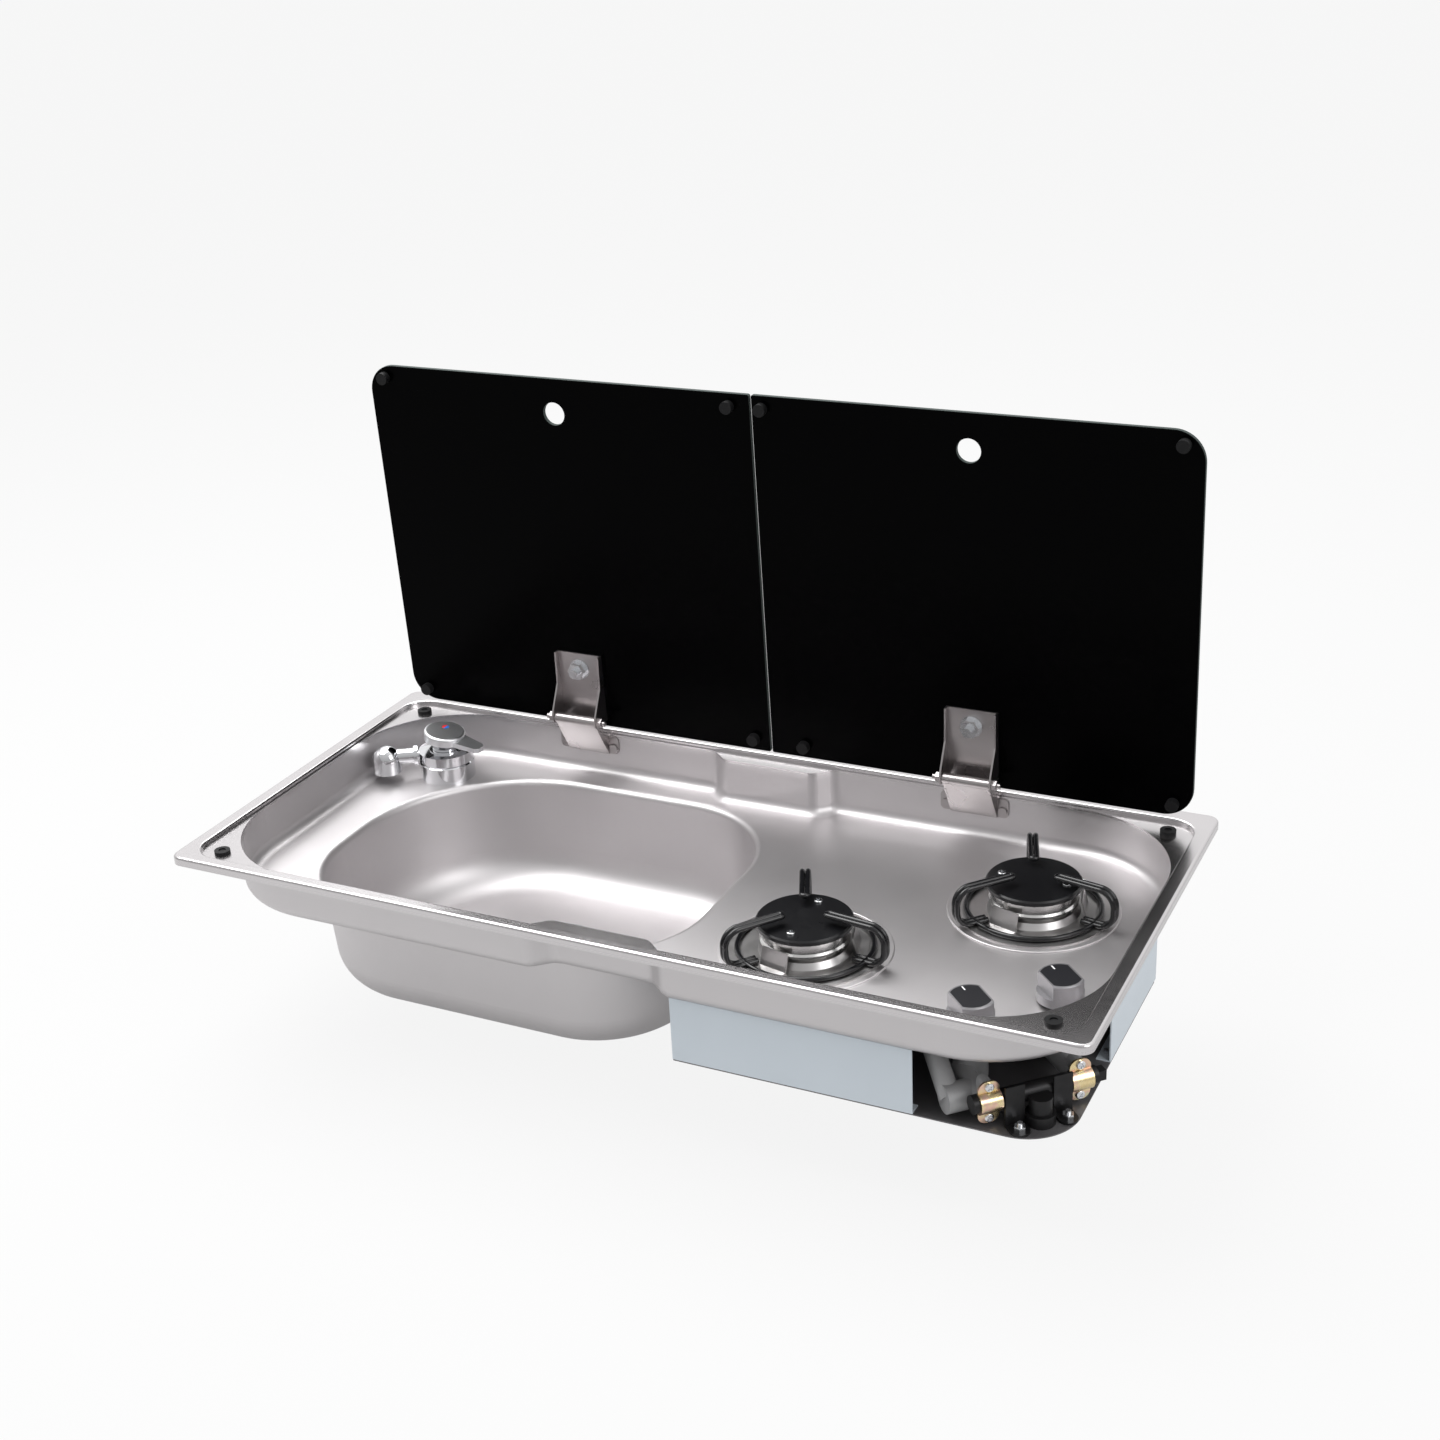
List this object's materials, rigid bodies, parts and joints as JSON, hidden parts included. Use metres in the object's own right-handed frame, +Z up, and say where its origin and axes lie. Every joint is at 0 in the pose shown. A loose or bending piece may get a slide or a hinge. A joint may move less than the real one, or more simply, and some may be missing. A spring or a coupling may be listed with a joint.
{
  "type": "sink and gas hob combination",
  "caption": "Drop-in stainless steel kitchen unit for a motorhome: sink bowl with a low mixer tap, a gas hob with wire pan supports, and hinged black glass lids.",
  "frame": {"origin": "centre of the rim, on the worktop plane that the rim gasket rests on", "axes": "+X to the right (hob side), +Y to the rear (hinge side), +Z up"},
  "size_m": [0.775, 0.365, 0.5176],
  "materials": {
    "stainless_steel": "satin brushed",
    "chrome": "polished",
    "black_glass": "polished black",
    "black_enamel": "satin enamel",
    "aluminium": "machined",
    "die_casting": "as cast",
    "zinc_steel": "bright zinc",
    "gold_passivated": "yellow passivated",
    "brass": "machined",
    "copper": "drawn copper",
    "pale_panel": "pale galvanised",
    "dark_plate": "dark galvanised",
    "black_bracket": "black zinc",
    "silver_knob": "satin silver",
    "black_inlay": "gloss",
    "black_rubber": "matt",
    "foam_rubber": "closed-cell foam",
    "grey_plastic": "moulded"
  },
  "bodies": {
    "unit": {"tray": "stainless_steel", "sink_bowl": "stainless_steel", "rim_gasket": "foam_rubber", "ledge_buttons": "black_rubber", "waste_fitting": "grey_plastic", "waste_seal": "black_rubber", "waste_nut": "grey_plastic", "tap_body": "chrome", "tap_seal": "black_rubber", "tap_nut": "brass", "tap_tails": "copper", "hinge_bases": "zinc_steel", "hinge_rivets": "zinc_steel", "burner_dishes": "chrome", "burner_bases": "aluminium", "burner_heads": "aluminium", "burner_caps": "black_enamel", "cap_screws": "zinc_steel", "support_clips": "chrome", "pan_support_front": "black_enamel", "pan_support_rear": "black_enamel", "gas_box_front": "pale_panel", "gas_box_right": "pale_panel", "gas_box_left": "pale_panel", "gas_box_rear": "pale_panel", "gas_box_floor": "dark_plate", "gas_box_screws": "zinc_steel", "gas_valves": "die_casting", "rail_clamps": "gold_passivated", "clamp_screws": "gold_passivated", "gas_rail": "zinc_steel", "rail_plug": "zinc_steel", "rail_bracket": "black_bracket", "bracket_nuts": "zinc_steel", "gas_inlet": "black_bracket", "gas_jets": "brass", "gas_pipes": "zinc_steel"},
    "lid_left": {"glass_left": "black_glass", "bumpers_left": "black_rubber", "hinge_leaf_left": "zinc_steel", "hinge_pin_left": "zinc_steel", "lid_bolt_left": "zinc_steel"},
    "lid_right": {"glass_right": "black_glass", "bumpers_right": "black_rubber", "hinge_leaf_right": "zinc_steel", "hinge_pin_right": "zinc_steel", "lid_bolt_right": "zinc_steel"},
    "knob_front_slider": {"spring_cup_front": "grey_plastic"},
    "knob_rear_slider": {"spring_cup_rear": "grey_plastic"},
    "knob_front_turner": {"knob_front": "silver_knob", "knob_inlay_front": "black_inlay", "knob_stem_front": "zinc_steel"},
    "knob_rear_turner": {"knob_rear": "silver_knob", "knob_inlay_rear": "black_inlay", "knob_stem_rear": "zinc_steel"},
    "spout": {"tap_spout": "chrome"},
    "turret": {"tap_turret": "chrome", "tap_lever_pin": "zinc_steel"},
    "lever": {"tap_lever": "chrome"},
    "plug": {"sink_plug": "black_rubber"}
  },
  "joints": [
    {"name": "lid_left_hinge", "type": "hinge", "parent": "unit", "child": "lid_left", "pos_m": [-0.1852, 0.142, 0.0235], "axis": [1, 0, 0], "range_deg": [0, 92.3]},
    {"name": "lid_right_hinge", "type": "hinge", "parent": "unit", "child": "lid_right", "pos_m": [0.1852, 0.142, 0.0235], "axis": [1, 0, 0], "range_deg": [0, 92.3]},
    {"name": "knob_front_push", "type": "slide", "parent": "unit", "child": "knob_front_slider", "axis": [0, 0, -1], "range_m": [0, 0.003], "stiffness_N_per_m": 1500, "springref_m": -0.001},
    {"name": "knob_front_turn", "type": "hinge", "parent": "knob_front_slider", "child": "knob_front_turner", "pos_m": [0.28004, -0.11646, -0.0265], "axis": [0, 0, 1], "range_deg": [0, 210]},
    {"name": "knob_rear_push", "type": "slide", "parent": "unit", "child": "knob_rear_slider", "axis": [0, 0, -1], "range_m": [0, 0.003], "stiffness_N_per_m": 1500, "springref_m": -0.001},
    {"name": "knob_rear_turn", "type": "hinge", "parent": "knob_rear_slider", "child": "knob_rear_turner", "pos_m": [0.33096, -0.06554, -0.0265], "axis": [0, 0, 1], "range_deg": [0, 210]},
    {"name": "tap_spout_swivel", "type": "hinge", "parent": "unit", "child": "spout", "pos_m": [-0.308, 0.11, -0.0145], "axis": [0, 0, 1], "range_deg": [0, 75]},
    {"name": "tap_lever_swing", "type": "hinge", "parent": "unit", "child": "turret", "pos_m": [-0.308, 0.11, -0.0095], "axis": [0, 0, 1], "range_deg": [-30, 30]},
    {"name": "tap_lever_lift", "type": "hinge", "parent": "turret", "child": "lever", "pos_m": [-0.31598, 0.11056, 0.0038], "axis": [-0.0698, -0.9976, 0], "range_deg": [0, 20]},
    {"name": "plug_lift", "type": "slide", "parent": "unit", "child": "plug", "axis": [0, 0, 1], "range_m": [0, 0.03]}
  ]
}
